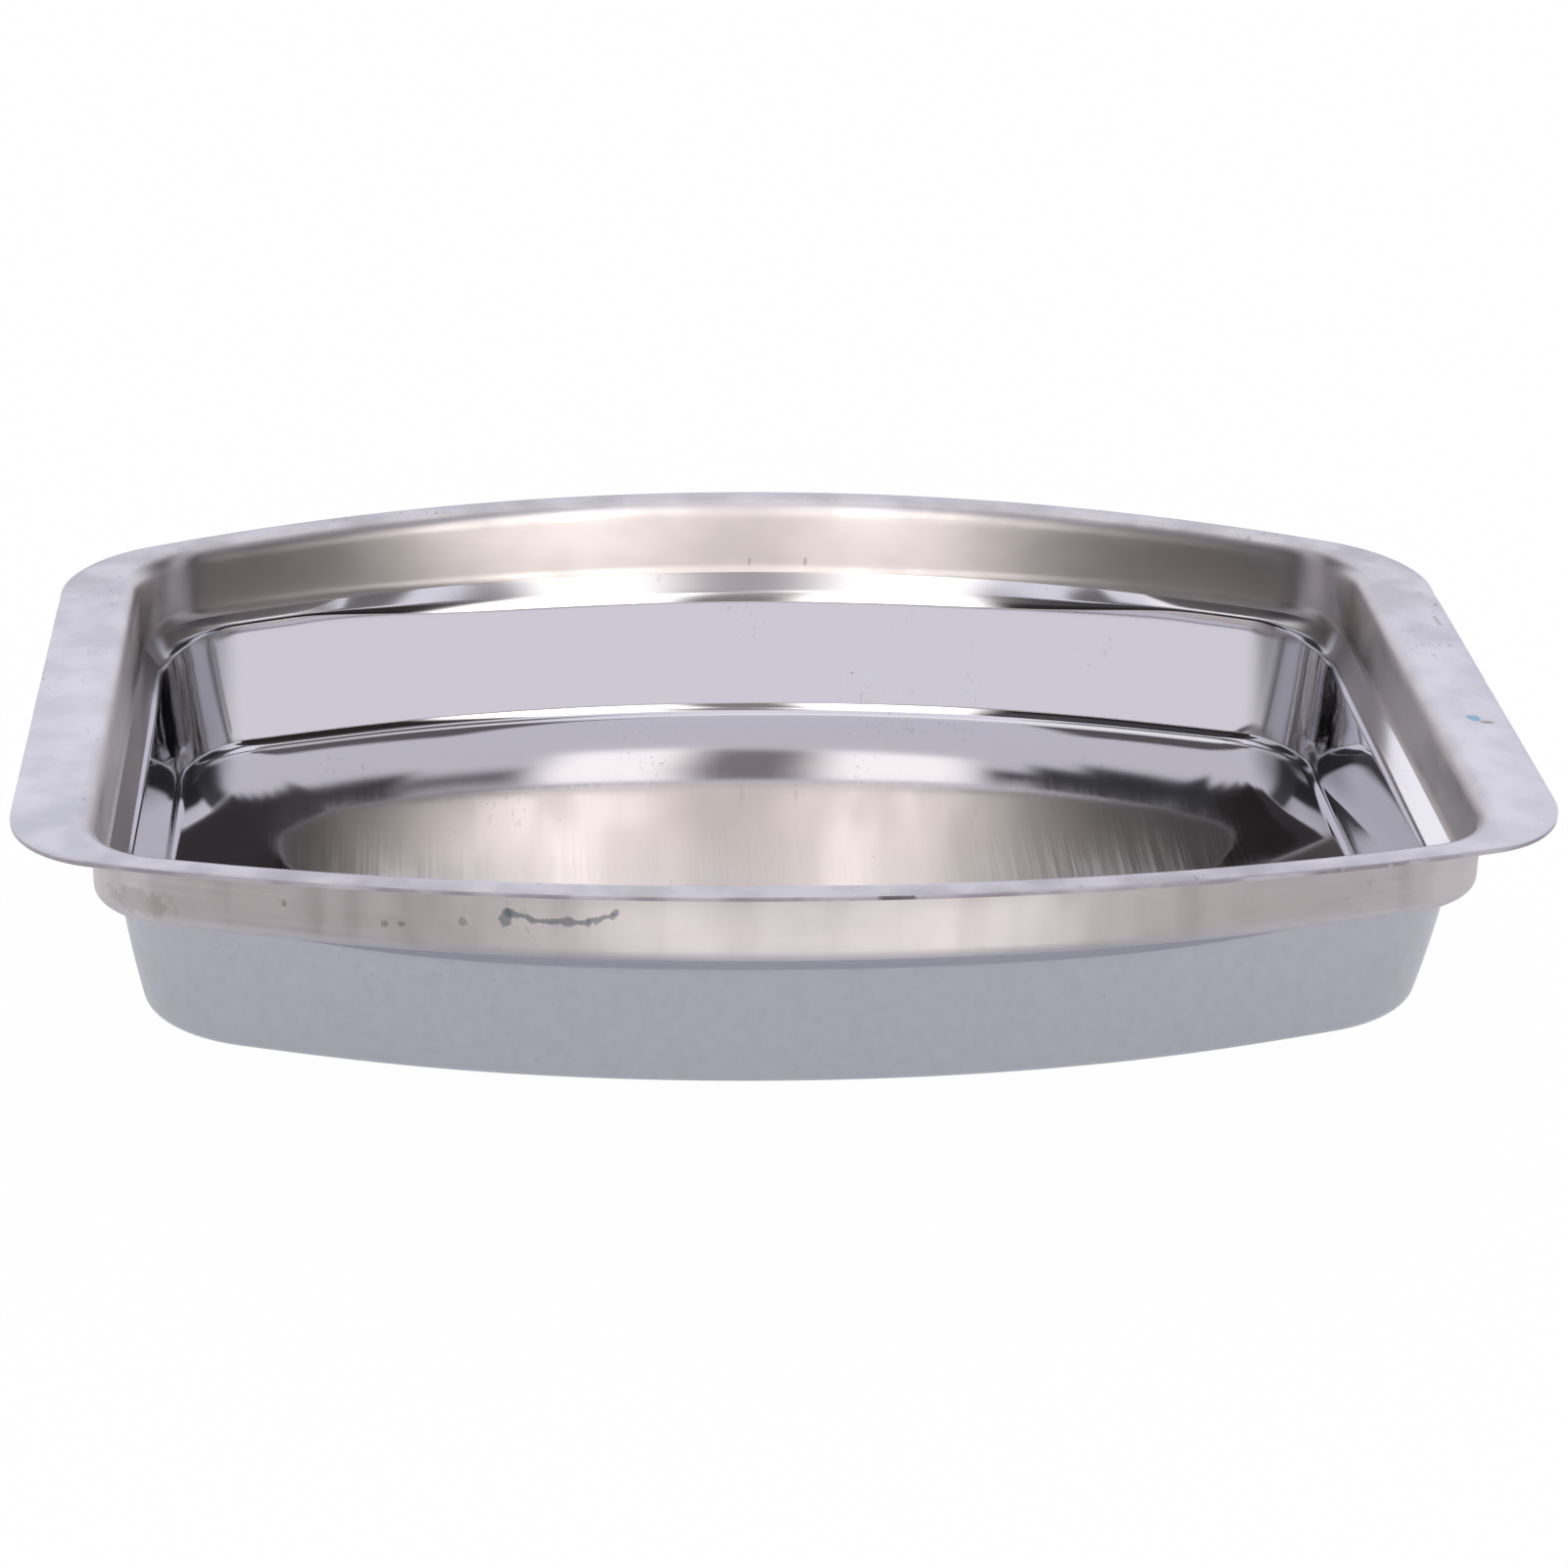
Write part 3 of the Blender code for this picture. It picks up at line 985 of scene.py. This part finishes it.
def light_surroundings(base, patches):
    """World with a pale base and soft patches; the camera itself sees plain white."""
    world = bpy.data.worlds.new("studio")
    bpy.context.scene.world = world
    world.use_nodes = True
    tree = world.node_tree
    tree.nodes.clear()
    place = tree.nodes.new("ShaderNodeTexCoord")
    split = tree.nodes.new("ShaderNodeSeparateXYZ")
    tree.links.new(place.outputs["Generated"], split.inputs[0])
    heading = maths(tree, "ARCTAN2", split.outputs["X"], scaled(tree, split.outputs["Y"], -1.0))
    height = maths(tree, "ARCSINE", split.outputs["Z"])
    colour = tree.nodes.new("ShaderNodeRGB").outputs[0]
    colour.default_value = (*base, 1.0)
    for patch, tint in patches:
        colour = mix_colours(tree, soft_patch(tree, heading, height, patch), colour, tint)
    lit = tree.nodes.new("ShaderNodeBackground")
    tree.links.new(colour, lit.inputs["Color"])
    white = tree.nodes.new("ShaderNodeBackground")
    white.inputs["Color"].default_value = (*WHITE, 1.0)
    light_path = tree.nodes.new("ShaderNodeLightPath")
    choose = tree.nodes.new("ShaderNodeMixShader")
    tree.links.new(light_path.outputs["Is Camera Ray"], choose.inputs["Fac"])
    tree.links.new(lit.outputs[0], choose.inputs[1])
    tree.links.new(white.outputs[0], choose.inputs[2])
    output = tree.nodes.new("ShaderNodeOutputWorld")
    tree.links.new(choose.outputs[0], output.inputs["Surface"])


def lay_table():
    """A wide pale table top that the tray stands on."""
    bpy.ops.object.select_all(action="DESELECT")
    bpy.ops.mesh.primitive_plane_add(size=TABLE_SIZE, location=(0.0, 0.0, 0.0))
    table = bpy.context.object
    table.name = "table"
    material = bpy.data.materials.new("pale_table")
    material.use_nodes = True
    tree = material.node_tree
    tree.nodes.clear()
    matt = tree.nodes.new("ShaderNodeBsdfDiffuse")
    matt.inputs["Color"].default_value = (*TABLE_COLOUR, 1.0)
    glow = tree.nodes.new("ShaderNodeEmission")
    glow.inputs["Color"].default_value = (*WHITE, 1.0)
    light_path = tree.nodes.new("ShaderNodeLightPath")
    seen = scaled(tree, light_path.outputs["Is Camera Ray"], TABLE_SEEN_WHITE)
    mirrored = scaled(tree, light_path.outputs["Is Glossy Ray"], TABLE_MIRRORED_WHITE)
    choose = tree.nodes.new("ShaderNodeMixShader")
    tree.links.new(maths(tree, "ADD", seen, mirrored), choose.inputs["Fac"])
    tree.links.new(matt.outputs[0], choose.inputs[1])
    tree.links.new(glow.outputs[0], choose.inputs[2])
    output = tree.nodes.new("ShaderNodeOutputMaterial")
    tree.links.new(choose.outputs[0], output.inputs["Surface"])
    table.data.materials.append(material)


def set_camera():
    """Camera at the photograph's viewpoint, from the tray's fitted perspective."""
    up_tilt = Vector((0.0, math.sin(CAMERA_PITCH), math.cos(CAMERA_PITCH)))
    ahead = Vector((0.0, math.cos(CAMERA_PITCH), -math.sin(CAMERA_PITCH)))
    across = Vector((1.0, 0.0, 0.0))
    right = across * math.cos(CAMERA_ROLL) - up_tilt * math.sin(CAMERA_ROLL)
    up = across * math.sin(CAMERA_ROLL) + up_tilt * math.cos(CAMERA_ROLL)
    centre = -(ahead * CAMERA_DISTANCE + right * CAMERA_SIDE + up * CAMERA_RISE) * LENGTH
    turn = Matrix.Rotation(-CAMERA_HEADING, 3, "Z")
    axes = turn @ Matrix((right, up, -ahead)).transposed()
    data = bpy.data.cameras.new("camera")
    data.sensor_width = SENSOR_MM
    data.lens = FOCAL_PIXELS * SENSOR_MM / IMAGE_WIDTH
    camera = bpy.data.objects.new("camera", data)
    bpy.context.scene.collection.objects.link(camera)
    place = turn @ centre + Vector((0.0, 0.0, FLOOR_EDGE))
    camera.matrix_world = Matrix.Translation(place) @ axes.to_4x4()
    bpy.context.scene.camera = camera


def build():
    effects = {
        "sheen_tone": painted_sheen_group(),
        "polish": polish_lines_group(),
        "waves": waves_group(),
        "flecks": flecks_group(),
        "specks": specks_group(),
        "mark": mark_and_shade_blot_group(),
    }
    tray = model_sheet([
        rim_steel(effects),
        pan_steel(effects),
        outer_band_steel(effects),
        outer_pan_steel(effects),
        cut_edge_steel(effects),
    ])
    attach(tray, "root")
    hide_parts("pressed_tray")
    light_surroundings(STUDIO_BASE, studio_panels())
    lay_table()
    set_camera()
    bpy.context.scene.view_settings.view_transform = "Standard"


build()
